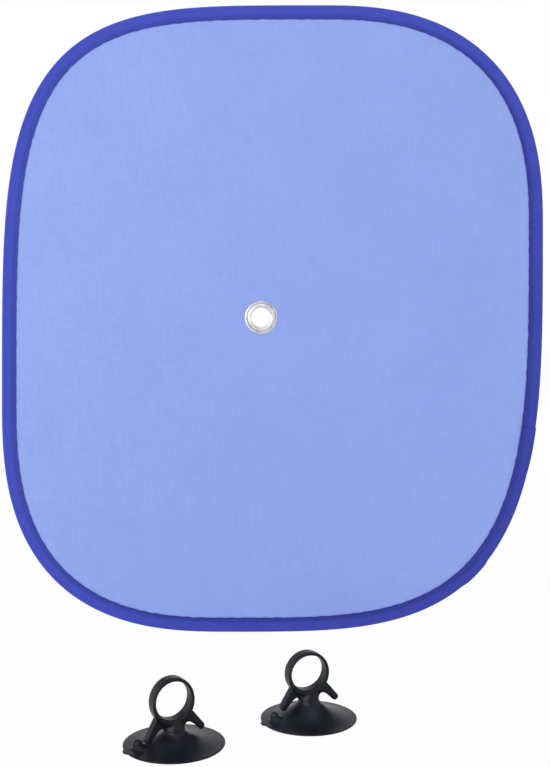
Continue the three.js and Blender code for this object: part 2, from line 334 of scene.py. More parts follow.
def plainMesh(made, name):
    bpy.context.view_layer.update()
    evaluated = made.evaluated_get(bpy.context.evaluated_depsgraph_get())
    mesh = bpy.data.meshes.new_from_object(evaluated)
    result = newObject(name, mesh)
    bpy.data.objects.remove(made)
    return result


def thicken(made, thickness):
    solid = made.modifiers.new("thickness", "SOLIDIFY")
    solid.thickness = thickness
    solid.offset = 0
    name = made.name
    made.name = name + "Skin"
    return plainMesh(made, name)


def smoothStep(low, high, value):
    t = np.clip((value - low) / (high - low), 0, 1)
    return t * t * (3 - 2 * t)


# Sines of these counts round the hoop, each with its own start and strength
def waves(places, counts, seed):
    rng = np.random.default_rng(seed)
    total = np.zeros_like(places)
    for count in counts:
        total += np.sin(2 * math.pi * (count * places + rng.random())) * rng.uniform(0.5, 1.0)
    return total / len(counts)


# Panel cloth: one sheet from the eyelet out to the edge, in rings and spokes

cloth = {
    "inset": 4 * mm,
    "clearance": 0.3 * mm,
    "thickness": 0.26 * mm,
    "rings": 96,
    "ringSpread": 0.92,
    "spokes": 400,
    "cutPoints": 4000,
    "slack": 0.55 * mm,
    "swellLevel": 2.5,  # a summed swell this high would lift the cloth by the whole slack
    "swellCount": 7,
    "swellSeed": 11,
    "edgeFree": 60 * mm,
    "eyeletHeld": 4 * mm,
    "eyeletFree": 45 * mm,
    "edgePucker": 0.16 * mm,
    "puckerReach": 14 * mm,
    "puckerStart": 6 * mm,
    "puckerSeed": 5,
    "threadPitch": 0.62 * mm,
    "streakScale": 420.0,
    "streakStretch": 5.0,
    "patchScale": 16.0,
    "relief": 0.09 * mm,
    "colour": (0.335, 0.442, 0.915, 1),
    "shade": (0.285, 0.384, 0.835, 1),
    "roughness": 0.74,
    "roughChange": 0.12,
    "shine": 0.25,
    "sheen": 0.12,
}


def makeClothMaterial():
    material, tree, shader = startMaterial("panelCloth", specular=cloth["shine"])
    shader.inputs["Sheen Weight"].default_value = cloth["sheen"]
    shader.inputs["Sheen Roughness"].default_value = 0.6
    place = uvSocket(tree)
    weave = placeGroup(tree, weaveGroup, {"Vector": place, "Pitch": cloth["threadPitch"]})
    threads = {"Vector": place, "Scale": cloth["streakScale"], "Stretch": cloth["streakStretch"]}
    slub = placeGroup(tree, slubGroup, threads)
    mottle = placeGroup(tree, mottleGroup, {"Vector": place, "Scale": cloth["patchScale"]})
    streak = ramp(tree, slub["Streak"], 0.40, 0.62)
    broad = ramp(tree, mottle["Broad"], 0.30, 0.75)
    tone = mathNode(tree, "MULTIPLY_ADD", broad, 0.35, 0.085)
    tone = mathNode(tree, "MULTIPLY_ADD", streak, 0.38, tone)
    tone = mathNode(tree, "MULTIPLY_ADD", weave["Gap"], -0.5, tone)
    colour = mixColour(tree, mathNode(tree, "MAXIMUM", tone, 0.0), cloth["shade"], cloth["colour"])
    tree.links.new(colour, shader.inputs["Base Color"])
    addRoughness(tree, shader, mottle["Fine"], cloth)
    height = mathNode(tree, "MULTIPLY_ADD", slub["Streak"], 0.6, weave["Height"])
    addBump(tree, shader, height, cloth["relief"], 0.55)
    return material


def makeCloth():
    spokes = cloth["spokes"]
    rings = cloth["rings"]
    places = np.arange(spokes) / spokes
    edge = hoop.inside(places, cloth["inset"])
    direction = edge / np.hypot(edge[:, 0], edge[:, 1])[:, None]
    start = direction * (eyelet["hole"] + eyelet["sheet"] + cloth["clearance"])
    verts = []
    uvs = []
    rng = np.random.default_rng(cloth["swellSeed"])
    swells = []
    for _ in range(cloth["swellCount"]):
        swells.append((rng.uniform(5, 17), rng.uniform(5, 17), rng.uniform(0, 6), rng.uniform(0.3, 1)))
    ripple = waves(places, (37, 53, 71, 96), cloth["puckerSeed"])
    for i in range(rings + 1):
        share = (i / rings) ** cloth["ringSpread"]
        row = start + (edge - start) * share
        fromEdge = np.hypot(*(edge - row).T)
        fromHole = np.hypot(*(row - start).T)
        free = smoothStep(0, cloth["edgeFree"], fromEdge)
        free *= smoothStep(cloth["eyeletHeld"], cloth["eyeletFree"], fromHole)
        lift = np.zeros(spokes)
        for kx, kz, phase, weight in swells:
            lift += weight * np.sin(kx * row[:, 0] * 2 + kz * row[:, 1] * 2 + phase)
        lift *= cloth["slack"] * free / cloth["swellLevel"]
        pucker = ripple * cloth["edgePucker"] * np.exp(-fromEdge / cloth["puckerReach"])
        lift += pucker * smoothStep(0, cloth["puckerStart"], fromEdge)
        for k in range(spokes):
            verts.append((row[k, 0], lift[k], row[k, 1]))
            uvs.append((row[k, 0], row[k, 1]))
    made = makeObject("panelCloth", verts, gridFaces(rings + 1, spokes, False, True), clothMaterial)
    setUv(made, uvs)
    return thicken(made, cloth["thickness"])


# Binding tape: folded over the wire, with its two legs down on the cloth

# Places are shares of the way round, anticlockwise from where the right side stands out furthest
tape = {
    "stations": 760,
    "thickness": 0.42 * mm,
    "reach": 10 * mm,
    "wireInset": 1.5 * mm,
    "beadRadius": 1.27 * mm,
    "beadStep": 9,  # degrees round the wire
    "beadEnd": 126,
    "legStart": 3 * mm,
    "legInsets": (3.9, 5.2, 6.5, 7.5, 8.3, 9.0, 9.6, 10.0),  # millimetres in from the edge
    "legHeights": (0.94, 0.86, 0.76, 0.66, 0.57, 0.60, 0.58, 0.52),  # millimetres off the middle plane
    "lowestLeg": 0.46 * mm,
    "sleevePlace": 0.8175,
    "sleeveHalf": 7 * mm,
    "sleeveTaper": 7 * mm,
    "sleeveSwell": 0.68 * mm,
    "lapPlace": 0.8925,
    "lapHalf": 7.5 * mm,
    "lapRise": 0.46 * mm,
    "lapTail": 26 * mm,
    "lapStations": 30,
    "tailSink": 0.1 * mm,
    "pucker": 0.22 * mm,
    "edgeShift": 0.28 * mm,
    "gatherPlace": 0.855,
    "gatherReach": 70 * mm,
    "seed": 21,
    "ribPitch": 0.9 * mm,
    "threadPitch": 0.45 * mm,
    "streakScale": 300.0,
    "streakStretch": 0.25,
    "patchScale": 45.0,
    "relief": 0.14 * mm,
    "seamPlace": 8.6 * mm,
    "seamReach": 1.6 * mm,
    # Painted shade: between these two insets the tape's inner edge, along the stitched groove, is coloured
    # darker
    "innerShadeStart": 6.2 * mm,
    "innerShadeEnd": 9.4 * mm,
    "colour": (0.043, 0.070, 0.535, 1),
    # The tape's darker tone: used for the weave's gaps and random streaks, and also as painted shade at the
    # inner edge and towards the lower right
    "darkToneAndShade": (0.015, 0.025, 0.275, 1),
    # Painted shade: the tape's colour is made darkest at this place, the lower right, where the light falls
    # off
    "shadePlace": 0.86,  # the tape is darkest here, at the lower right
    "roughness": 0.55,
    "roughChange": 0.15,
    "shine": 0.4,
    "sheen": 0.10,
}


def makeTapeMaterial():
    material, tree, shader = startMaterial("bindingTape", specular=tape["shine"])
    shader.inputs["Sheen Weight"].default_value = tape["sheen"]
    place = uvSocket(tree)
    parts = addNode(tree, "ShaderNodeSeparateXYZ", {0: place}).outputs
    ribTurn = 2 * math.pi / tape["ribPitch"]
    rib = mathNode(tree, "SINE", mathNode(tree, "MULTIPLY", parts[0], ribTurn))
    weave = placeGroup(tree, weaveGroup, {"Vector": place, "Pitch": tape["threadPitch"]})
    threads = {"Vector": place, "Scale": tape["streakScale"], "Stretch": tape["streakStretch"]}
    slub = placeGroup(tree, slubGroup, threads)
    mottle = placeGroup(tree, mottleGroup, {"Vector": place, "Scale": tape["patchScale"]})
    across = mathNode(tree, "ABSOLUTE", parts[1])
    # Painted shade: a falloff round the hoop, 1 at the lower right and 0 opposite, that darkens the tape
    # where the light falls off
    away = mathNode(tree, "SUBTRACT", parts[0], tape["shadePlace"] * hoop.length)
    around = mathNode(tree, "COSINE", mathNode(tree, "MULTIPLY", away, 2 * math.pi / hoop.length))
    dullAndShade = mathNode(tree, "MULTIPLY_ADD", around, 0.5, 0.5)
    # Painted shade along the stitched inner edge, made stronger where the falloff darkens the tape
    innerShade = ramp(tree, across, tape["innerShadeStart"], tape["innerShadeEnd"])
    innerShade = mathNode(tree, "MULTIPLY", innerShade, ramp(tree, dullAndShade, -0.7, 1.0))
    streak = ramp(tree, slub["Streak"], 0.35, 0.65)
    broad = ramp(tree, mottle["Broad"], 0.3, 0.7)
    worn = mathNode(tree, "MULTIPLY_ADD", streak, 0.30, mathNode(tree, "MULTIPLY", broad, 0.30))
    # The weave's gaps darken the tape, and the inner edge adds painted shade
    darker = mathNode(tree, "MULTIPLY_ADD", weave["Gap"], 0.25, innerShade)
    mixing = mathNode(tree, "MULTIPLY_ADD", worn, 0.4, mathNode(tree, "MULTIPLY", darker, 0.85))
    # Painted shade: the falloff darkens the tape's colour towards the lower right
    mixing = mathNode(tree, "MULTIPLY_ADD", mathNode(tree, "POWER", dullAndShade, 3.0), 0.50, mixing)
    factor = addNode(tree, "ShaderNodeClamp", {"Value": mixing}).outputs[0]
    colour = mixColour(tree, factor, tape["colour"], tape["darkToneAndShade"])
    tree.links.new(colour, shader.inputs["Base Color"])
    addRoughness(tree, shader, mottle["Fine"], tape)
    stitchTurn = 2 * math.pi / stitching["spacing"]
    pull = mathNode(tree, "COSINE", mathNode(tree, "MULTIPLY", parts[0], stitchTurn))
    offLine = mathNode(tree, "SUBTRACT", across, tape["seamPlace"])
    nearLine = ramp(tree, mathNode(tree, "ABSOLUTE", offLine), tape["seamReach"], 0.0)
    dimple = mathNode(tree, "MULTIPLY", mathNode(tree, "MULTIPLY_ADD", pull, 0.5, -1.0), nearLine)
    ribs = mathNode(tree, "MULTIPLY_ADD", rib, 0.25, mathNode(tree, "MULTIPLY", weave["Height"], 0.45))
    relief = mathNode(tree, "MULTIPLY_ADD", dimple, 1.1, ribs)
    relief = mathNode(tree, "MULTIPLY_ADD", slub["Streak"], 1.2, relief)
    addBump(tree, shader, relief, tape["relief"], 0.8)
    return material


def tapeHalfSection(swell):
    radius = tape["beadRadius"] + swell
    centre = tape["wireInset"]
    points = []
    for degrees in range(0, tape["beadEnd"], tape["beadStep"]):
        angle = math.radians(degrees)
        points.append((centre - radius * math.cos(angle), radius * math.sin(angle)))
    legs = zip(tape["legInsets"], tape["legHeights"])
    points.extend((inset * mm, height * mm) for inset, height in legs)
    return points


def tapeVertices(places, rises):
    points = hoop.at(places)
    inward = hoop.inward(places)
    fromSleeve = np.abs(places - tape["sleevePlace"]) * hoop.length
    swell = 1 - smoothStep(tape["sleeveHalf"], tape["sleeveHalf"] + tape["sleeveTaper"], fromSleeve)
    sag = waves(places, (61, 97, 143, 211), tape["seed"])
    shift = waves(places, (83, 131, 177), tape["seed"] + 1)
    gather = np.exp(-((places - tape["gatherPlace"]) * hoop.length / tape["gatherReach"]) ** 2)
    crease = waves(places, (150, 230, 310), tape["seed"] + 2) * gather
    verts = []
    uvs = []
    for i in range(len(places)):
        half = tapeHalfSection(swell[i] * tape["sleeveSwell"])
        across = [0.0]
        for a, b in zip(half, half[1:]):
            across.append(across[-1] + math.hypot(b[0] - a[0], b[1] - a[1]))
        run = [(-1, k) for k in range(len(half) - 1, 0, -1)] + [(1, k) for k in range(len(half))]
        for side, k in run:
            inset, height = half[k]
            legPart = max(0.0, (inset - tape["legStart"]) / (tape["reach"] - tape["legStart"]))
            belly = sag[i] * math.sin(math.pi * min(1, legPart * 1.15)) * 0.9
            bump = tape["pucker"] * (belly + crease[i] * 0.8)
            height = max(height + bump * min(1, legPart * 3), min(height, tape["lowestLeg"]))
            facing = math.radians(min(90, k * tape["beadStep"]))
            inset += shift[i] * legPart * tape["edgeShift"] - rises[i] * math.cos(facing)
            height += rises[i] * math.sin(facing)
            x = points[i, 0] + inward[i, 0] * inset
            z = points[i, 1] + inward[i, 1] * inset
            verts.append((x, side * height, z))
            uvs.append((places[i] * hoop.length, side * across[k]))
    return verts, uvs, len(run)


def makeTape():
    count = tape["stations"]
    places = np.arange(count) / count
    verts, uvs, columns = tapeVertices(places, np.zeros(count))
    made = makeObject("edgeTape", verts, gridFaces(count, columns, True, False), tapeMaterial)
    setUv(made, uvs)
    return thicken(made, tape["thickness"])


# The tape's end, laid over its start. Its tail sinks into the tape below.
def makeTapeLap():
    half = tape["lapHalf"] / hoop.length
    tail = tape["lapTail"] / hoop.length
    start = tape["lapPlace"] - half - tail
    places = np.linspace(start, tape["lapPlace"] + half, tape["lapStations"])
    risen = smoothStep(0, tail, places - places[0])
    rises = risen * (tape["lapRise"] + tape["tailSink"]) - tape["tailSink"]
    verts, uvs, columns = tapeVertices(places, rises)
    made = makeObject("tapeLap", verts, gridFaces(len(places), columns, False, False), tapeMaterial)
    setUv(made, uvs)
    return thicken(made, tape["thickness"])


# Row of stitches along a line, made by geometry nodes

stitching = {
    "inset": 8.3 * mm,
    "lift": 0.80 * mm,
    "spacing": 3.0 * mm,
    "length": 2.35 * mm,
    "radius": 0.17 * mm,
    "slant": 0.05,
    "wobble": 0.02,
    "seed": 3,
    "linePoints": 900,
    "patchScale": 90.0,
    "relief": 0.03 * mm,
    "colour": (0.020, 0.030, 0.25, 1),
}


def makeThreadMaterial():
    material, tree, shader = startMaterial("sewingThread")
    place = objectSocket(tree)
    mottle = placeGroup(tree, mottleGroup, {"Vector": place, "Scale": stitching["patchScale"]})
    lighter = tuple(channel * 1.7 for channel in stitching["colour"][:3]) + (1,)
    colour = mixColour(tree, mottle["Broad"], stitching["colour"], lighter)
    tree.links.new(colour, shader.inputs["Base Color"])
    addBump(tree, shader, mottle["Fine"], stitching["relief"])
    return material


def makeStitchTree():
    tree = bpy.data.node_groups.new("stitchRow", "GeometryNodeTree")
    wanted = (
        ("Geometry", "NodeSocketGeometry", None),
        ("Spacing", "NodeSocketFloat", stitching["spacing"]),
        ("Length", "NodeSocketFloat", stitching["length"]),
        ("Thread Radius", "NodeSocketFloat", stitching["radius"]),
        ("Slant", "NodeSocketFloat", stitching["slant"]),
        ("Seed", "NodeSocketInt", stitching["seed"]),
        ("Material", "NodeSocketMaterial", None),
    )
    for name, kind, value in wanted:
        socket = tree.interface.new_socket(name, in_out="INPUT", socket_type=kind)
        if value is not None:
            socket.default_value = value
    tree.interface.new_socket("Geometry", in_out="OUTPUT", socket_type="NodeSocketGeometry")
    given = tree.nodes.new("NodeGroupInput").outputs
    leave = tree.nodes.new("NodeGroupOutput")
    steps = {"Curve": given["Geometry"], "Length": given["Spacing"]}
    resample = addNode(tree, "GeometryNodeResampleCurve", steps, mode="LENGTH")
    tangent = addNode(tree, "GeometryNodeInputTangent")
    align = addNode(tree, "FunctionNodeAlignRotationToVector", {"Vector": tangent.outputs[0]}, axis="X")
    most = stitching["wobble"]
    spread = {"Min": (0, -most, 0), "Max": (0, most, 0), "Seed": given["Seed"]}
    wobble = addNode(tree, "FunctionNodeRandomValue", spread, data_type="FLOAT_VECTOR")
    lean = addNode(tree, "ShaderNodeCombineXYZ", {"Y": given["Slant"]})
    both = {0: wobble.outputs[0], 1: lean.outputs[0]}
    slant = addNode(tree, "ShaderNodeVectorMath", both, operation="ADD")
    turn = addNode(
        tree,
        "FunctionNodeRotateRotation",
        {"Rotation": align.outputs[0], "Rotate By": slant.outputs[0]},
        rotation_space="LOCAL",
    )
    bead = addNode(tree, "GeometryNodeMeshUVSphere", {"Segments": 8, "Rings": 7, "Radius": 1.0})
    halfLength = mathNode(tree, "MULTIPLY", given["Length"], 0.5)
    size = {"X": halfLength, "Y": given["Thread Radius"], "Z": given["Thread Radius"]}
    scale = addNode(tree, "ShaderNodeCombineXYZ", size)
    instances = addNode(
        tree,
        "GeometryNodeInstanceOnPoints",
        {
            "Points": resample.outputs[0],
            "Instance": bead.outputs[0],
            "Rotation": turn.outputs[0],
            "Scale": scale.outputs[0],
        },
    )
    real = addNode(tree, "GeometryNodeRealizeInstances", {"Geometry": instances.outputs[0]})
    finish = {"Geometry": real.outputs[0], "Material": given["Material"]}
    painted = addNode(tree, "GeometryNodeSetMaterial", finish)
    tree.links.new(painted.outputs[0], leave.inputs[0])
    return tree


def setInput(modifier, name, value):
    for item in modifier.node_group.interface.items_tree:
        if item.item_type == "SOCKET" and item.in_out == "INPUT" and item.name == name:
            modifier[item.identifier] = value


def makeStitches(name, side, tree):
    places = np.arange(stitching["linePoints"]) / stitching["linePoints"]
    path = hoop.inside(places, stitching["inset"])
    data = bpy.data.curves.new(name + "Line", "CURVE")
    data.dimensions = "3D"
    spline = data.splines.new("POLY")
    spline.points.add(len(path) - 1)
    for point, (x, z) in zip(spline.points, path):
        point.co = (x, side * stitching["lift"], z, 1)
    spline.use_cyclic_u = True
    line = newObject(name + "Line", data)
    modifier = line.modifiers.new("stitches", "NODES")
    modifier.node_group = tree
    setInput(modifier, "Material", threadMaterial)
    made = plainMesh(line, name)
    made.data.shade_smooth()
    return made


# Metals of the eyelet and the hoop

metals = {
    "nickelPlate": {
        "bright": (0.80, 0.79, 0.79, 1),
        "dullAndShade": (0.60, 0.585, 0.61, 1),
        "roughness": 0.18,
        "roughChange": 0.22,
        "patchScale": 130.0,
        "relief": 0.012 * mm,
    },
    "drawnSteel": {
        "bright": (0.50, 0.51, 0.52, 1),
        "dullAndShade": (0.36, 0.36, 0.37, 1),
        "roughness": 0.26,
        "roughChange": 0.22,
        "patchScale": 60.0,
        "relief": 0.012 * mm,
    },
}


def makeMetalMaterial(name):
    metal = metals[name]
    material, tree, shader = startMaterial(name, metallic=1.0)
    place = objectSocket(tree)
    mottle = placeGroup(tree, mottleGroup, {"Vector": place, "Scale": metal["patchScale"]})
    brushed = {"Vector": place, "Scale": metal["patchScale"] * 9, "Stretch": 9.0}
    slub = placeGroup(tree, slubGroup, brushed)
    patchy = ramp(tree, mottle["Broad"], 0.35, 0.70)
    tree.links.new(mixColour(tree, patchy, metal["bright"], metal["dullAndShade"]), shader.inputs["Base Color"])
    addRoughness(tree, shader, slub["Streak"], metal)
    addBump(tree, shader, mottle["Fine"], metal["relief"], 0.6)
    return material


# Turned pieces

def turnedVertices(profile, segments):
    verts = []
    for i in range(segments):
        angle = 2 * math.pi * i / segments
        verts.extend((r * math.cos(angle), y, r * math.sin(angle)) for r, y in profile)
    return verts


def arc(centre, across, along, start, end, steps):
    points = []
    for i in range(steps + 1):
        angle = math.radians(start + (end - start) * i / steps)
        points.append((centre[0] + across * math.cos(angle), centre[1] + along * math.sin(angle)))
    return points


def recalculate(made):
    shape = bmesh.new()
    shape.from_mesh(made.data)
    bmesh.ops.remove_doubles(shape, verts=shape.verts, dist=0.0005 * mm)
    bmesh.ops.recalc_face_normals(shape, faces=shape.faces)
    shape.to_mesh(made.data)
    shape.free()


def turnedRing(name, profile, material):
    columns = len(profile)
    faces = gridFaces(eyelet["segments"], columns, True, True)
    made = makeObject(name, turnedVertices(profile, eyelet["segments"]), faces, material)
    recalculate(made)
    made.data.shade_smooth()
    return made


# Eyelet: lip rolled over the washer towards the viewer, barrel, and domed flange behind
eyelet = {
    "hole": 6.75 * mm,
    "sheet": 0.5 * mm,
    "lip": 9.4 * mm,
    "lipFront": 1.95 * mm,
    "lipDepth": 1.15 * mm,
    "washer": 11.4 * mm,
    "washerInner": 7.55 * mm,
    "flange": 11.2 * mm,
    "flangeRise": 1.6 * mm,
    "flangeSeat": 0.5 * mm,
    "segments": 128,
}


def makeEyelet():
    hole = eyelet["hole"]
    sheet = eyelet["sheet"]
    front = -eyelet["lipFront"]
    lipMiddle = (hole + eyelet["lip"]) / 2
    lipHalf = (eyelet["lip"] - hole) / 2
    lipDepth = eyelet["lipDepth"]
    flangeMiddle = (hole + eyelet["flange"]) / 2
    flangeHalf = (eyelet["flange"] - hole) / 2
    seat = eyelet["flangeSeat"]
    profile = []
    profile.extend(arc((lipMiddle, front + lipDepth), lipHalf, lipDepth, 180, 395, 22))
    profile.extend(arc((lipMiddle, front + lipDepth), lipHalf - sheet, lipDepth - sheet, 380, 200, 14))
    profile.extend(arc((flangeMiddle, seat), flangeHalf - sheet, eyelet["flangeRise"] - sheet, 180, 0, 14))
    profile.extend(arc((flangeMiddle, seat), flangeHalf, eyelet["flangeRise"], 0, 180, 22))
    return turnedRing("eyeletBarrel", profile, nickelMaterial)


# Washer: a shallow dish with a rounded outer edge
def makeWasher():
    inner = eyelet["washerInner"]
    outer = eyelet["washer"]
    profile = [
        (inner, -0.50 * mm),
        (outer - 0.5 * mm, -0.50 * mm),
        (outer - 0.2 * mm, -0.42 * mm),
        (outer, -0.46 * mm),
        (outer, -0.62 * mm),
        (outer - 0.28 * mm, -0.86 * mm),
        (outer - 0.7 * mm, -0.98 * mm),
        (inner + 2.0 * mm, -0.90 * mm),
        (inner + 1.6 * mm, -0.84 * mm),
        (inner, -0.80 * mm),
    ]
    return turnedRing("eyeletWasher", profile, nickelMaterial)


# Suction cups: bell, head, knob and tab, melted into one soft moulding

cup = {
    "radius": 26.5 * mm,
    "rimFlat": 1.5 * mm,
    "rimThickness": 0.9 * mm,
    "edgeInset": 0.2 * mm,
    "edgeHeight": 0.25 * mm,
    "hollow": 4 * mm,
    "hollowShape": 1.2,
    "bellShape": 1.55,  # 1 would be a straight cone, 2 a round flare
    "neckRadius": 5.75 * mm,
    "neckFoot": 10.6 * mm,
    "neckRise": 5.6 * mm,
    "tabReach": 1.3 * mm,
    "tabWidth": 6 * mm,
    "segments": 160,
    "curveSteps": 24,
    "voxel": 0.30 * mm,
    "softening": 9,
    "streakScale": 500.0,
    "streakStretch": 4.0,
    "patchScale": 70.0,
    "relief": 0.06 * mm,
    "colour": (0.0070, 0.0074, 0.0112, 1),
    "bloom": (0.0135, 0.0145, 0.021, 1),
    "roughness": 0.30,
    "roughChange": 0.16,
    "shine": 0.19,
    "shineTint": (0.80, 0.86, 1, 1),
}


def makeCupMaterial():
    material, tree, shader = startMaterial("softCup", specular=cup["shine"])
    shader.inputs["Specular Tint"].default_value = cup["shineTint"]
    place = objectSocket(tree)
    mottle = placeGroup(tree, mottleGroup, {"Vector": place, "Scale": cup["patchScale"]})
    streaks = {"Vector": place, "Scale": cup["streakScale"], "Stretch": cup["streakStretch"]}
    slub = placeGroup(tree, slubGroup, streaks)
    bloom = ramp(tree, mottle["Broad"], 0.42, 0.78)
    tree.links.new(mixColour(tree, bloom, cup["colour"], cup["bloom"]), shader.inputs["Base Color"])
    addRoughness(tree, shader, mottle["Fine"], cup)
    height = mathNode(tree, "MULTIPLY_ADD", slub["Streak"], 0.5, mottle["Fine"])
    addBump(tree, shader, height, cup["relief"], 0.5)
    return material


def turnPoint(x, y, angle):
    return x * math.cos(angle) - y * math.sin(angle), x * math.sin(angle) + y * math.cos(angle)


def quarterPoint(across, up, fullness, angle):
    c = math.cos(angle)
    s = math.sin(angle)
    grow = (abs(c) ** fullness + abs(s) ** fullness) ** (-1 / fullness)
    return across * c * grow, up * s * grow


def bellHeight(radius, foot):
    part = (cup["radius"] - radius) / (cup["radius"] - cup["neckRadius"])
    fall = (1 - part ** cup["bellShape"]) ** (1 / cup["bellShape"])
    return foot - (foot - cup["rimThickness"]) * fall


def lathe(shape, profile, segments, place=None):
    turned = bmesh.new()
    columns = len(profile)
    rings = []
    for i in range(segments):
        angle = 2 * math.pi * i / segments
        rings.append([turned.verts.new((r * math.cos(angle), r * math.sin(angle), z)) for r, z in profile])
    for i in range(segments):
        for j in range(columns - 1):
            a = rings[i][j]
            b = rings[(i + 1) % segments][j]
            c = rings[(i + 1) % segments][j + 1]
            d = rings[i][j + 1]
            turned.faces.new((a, b, c, d))
    bmesh.ops.remove_doubles(turned, verts=turned.verts, dist=0.001 * mm)
    bmesh.ops.recalc_face_normals(turned, faces=turned.faces)
    if place:
        place(turned)
    addTo(shape, turned)


def addTo(shape, other):
    mesh = bpy.data.meshes.new("part")
    other.to_mesh(mesh)
    shape.from_mesh(mesh)
    bpy.data.meshes.remove(mesh)
    other.free()


def bellProfile(pressed):
    hollow = cup["hollow"] - pressed
    foot = cup["neckFoot"] - pressed
    hollowRadius = cup["radius"] - cup["rimFlat"]
    profile = []
    steps = cup["curveSteps"]
    for i in range(steps + 1):
        share = i / steps
        profile.append((hollowRadius * share, hollow * (1 - share ** cup["hollowShape"])))
    profile.append((cup["radius"] - cup["edgeInset"], 0))
    profile.append((cup["radius"], cup["edgeHeight"]))
    across = cup["radius"] - cup["neckRadius"]
    for i in range(steps, -1, -1):
        x, y = quarterPoint(across, foot - cup["rimThickness"], cup["bellShape"], math.pi / 2 * i / steps)
        profile.append((cup["radius"] - x, foot - y))
    profile.extend(arc((0, foot), cup["neckRadius"], cup["neckRise"], 0, 90, 12)[1:])
    return profile


def bend(a, b, c, steps):
    points = []
    for i in range(1, steps + 1):
        t = i / steps
        x = (1 - t) ** 2 * a[0] + 2 * t * (1 - t) * b[0] + t * t * c[0]
        z = (1 - t) ** 2 * a[1] + 2 * t * (1 - t) * b[1] + t * t * c[1]
        points.append((x, z))
    return points


wing = {
    "rootAngle": -31,  # degrees round the ring, from its right side
    "slope": 56,
    "tipReach": 15.4 * mm,
    "tipHeight": 9.5 * mm,
    "tipRadius": 1.9 * mm,
    "notchReach": 2 * mm,
    "notchHeight": 13.3 * mm,
    "rootSink": 0.3 * mm,
    "depth": 4.4 * mm,
}


# Both wings, from under the neck out round the tips, up to the ring and back inside the ring's wall
def wingOutline():
    inner = math.radians(wing["slope"] - 180)
    radius = wing["tipRadius"]
    tip = (wing["tipReach"], wing["tipHeight"])
    under = (tip[0] + radius * math.cos(inner), tip[1] + radius * math.sin(inner))
    notchX = cup["neckRadius"] + wing["notchReach"]
    notchZ = wing["notchHeight"]
    neck = (cup["neckRadius"] - wing["rootSink"], cup["neckFoot"])
    notch = (notchX, notchZ)
    half = [(0, cup["neckFoot"]), neck]
    half.extend(bend(neck, (cup["neckRadius"], notchZ), notch, 10))
    half.extend(bend(notch, (notchX + wing["notchReach"], notchZ), under, 10))
    half.extend(arc(tip, radius, radius, wing["slope"] - 180, wing["slope"], 14)[1:])
    centre = (0, ring["height"])
    root = math.radians(wing["rootAngle"])
    half.append((ring["halfWidth"] * math.cos(root), ring["height"] + ring["halfHeight"] * math.sin(root)))
    middleWidth = ring["halfWidth"] - ring["wall"] / 2
    middleHeight = ring["halfHeight"] - ring["seatWall"] / 2
    half.extend(arc(centre, middleWidth, middleHeight, wing["rootAngle"], -90, 10))
    other = [(-x, z) for x, z in reversed(half[1:-1])]
    return half + other


ring = {
    "halfWidth": 12.2 * mm,
    "halfHeight": 12 * mm,
    "height": 25.3 * mm,
    "wall": 1.9 * mm,
    "topWall": 1.9 * mm,
    "seatWall": 3.4 * mm,
    "depth": 7 * mm,
    "edge": 0.7 * mm,
}


def ringOutline():
    return arc((0, ring["height"]), ring["halfWidth"], ring["halfHeight"], 0, 360, 72)[:-1]


def ringHole():
    top = ring["height"] + ring["halfHeight"] - ring["topWall"]
    bottom = ring["height"] - ring["halfHeight"] + ring["seatWall"]
    middle = (0, (top + bottom) / 2)
    return arc(middle, ring["halfWidth"] - ring["wall"], (top - bottom) / 2, 0, 360, 64)[:-1]


# A flat part with rounded edges, set up in the head's plane: squeezed, leaning and sunk with the neck
def addFlat(shape, lines, depth, stand):
    data = bpy.data.curves.new("flatPart", "CURVE")
    data.dimensions = "2D"
    data.fill_mode = "BOTH"
    data.extrude = depth / 2 - ring["edge"]
    data.bevel_depth = ring["edge"]
    data.bevel_resolution = 3
    data.offset = -ring["edge"]
    for points in lines:
        spline = data.splines.new("POLY")
        spline.points.add(len(points) - 1)
        for point, (x, z) in zip(spline.points, points):
            point.co = (x, z, 0, 1)
        spline.use_cyclic_u = True
    solid = plainMesh(newObject("flatPart", data), "flatSolid")
    part = bmesh.new()
    part.from_mesh(solid.data)
    bpy.data.objects.remove(solid)
    lean = math.radians(stand["lean"])
    for vert in part.verts:
        x, z, away = vert.co
        x *= stand["squeeze"]
        up = (z - cup["neckFoot"]) / stand["squeeze"]
        leanX, leanZ = turnPoint(x, up, lean)
        vert.co = (leanX, -away, leanZ + cup["neckFoot"] - stand["pressed"])
    bmesh.ops.remove_doubles(part, verts=part.verts, dist=0.001 * mm)
    bmesh.ops.recalc_face_normals(part, faces=part.faces)
    addTo(shape, part)


knob = {
    "radius": 2.45 * mm,
    "rise": 4.3 * mm,
    "skirt": 4.5 * mm,
    "sink": 0.5 * mm,
    "reach": 19.6 * mm,
    "angle": 177,
    "segments": 40,
}


def addKnob(shape, pressed):
    ball = knob["radius"]
    skirt = knob["skirt"]
    middle = knob["rise"] - ball
    profile = [(0, -knob["sink"]), (skirt, -knob["sink"]), (skirt, 0), ((skirt + ball) / 2, middle * 0.3)]
    profile.extend(arc((0, middle), ball, ball, -15, 90, 14))
    foot = cup["neckFoot"] - pressed
    reach = knob["reach"]
    fall = bellHeight(reach - ball, foot) - bellHeight(reach + ball, foot)
    tilt = math.atan2(fall, 2 * ball)
    aim = math.radians(knob["angle"])

    def seatOnBell(turned):
        for vert in turned.verts:
            x, y, z = vert.co
            x, z = turnPoint(x, z, -tilt)
            x, y = turnPoint(x + reach, y, aim)
            vert.co = (x, y, z + bellHeight(reach, foot))

    lathe(shape, profile, knob["segments"], seatOnBell)


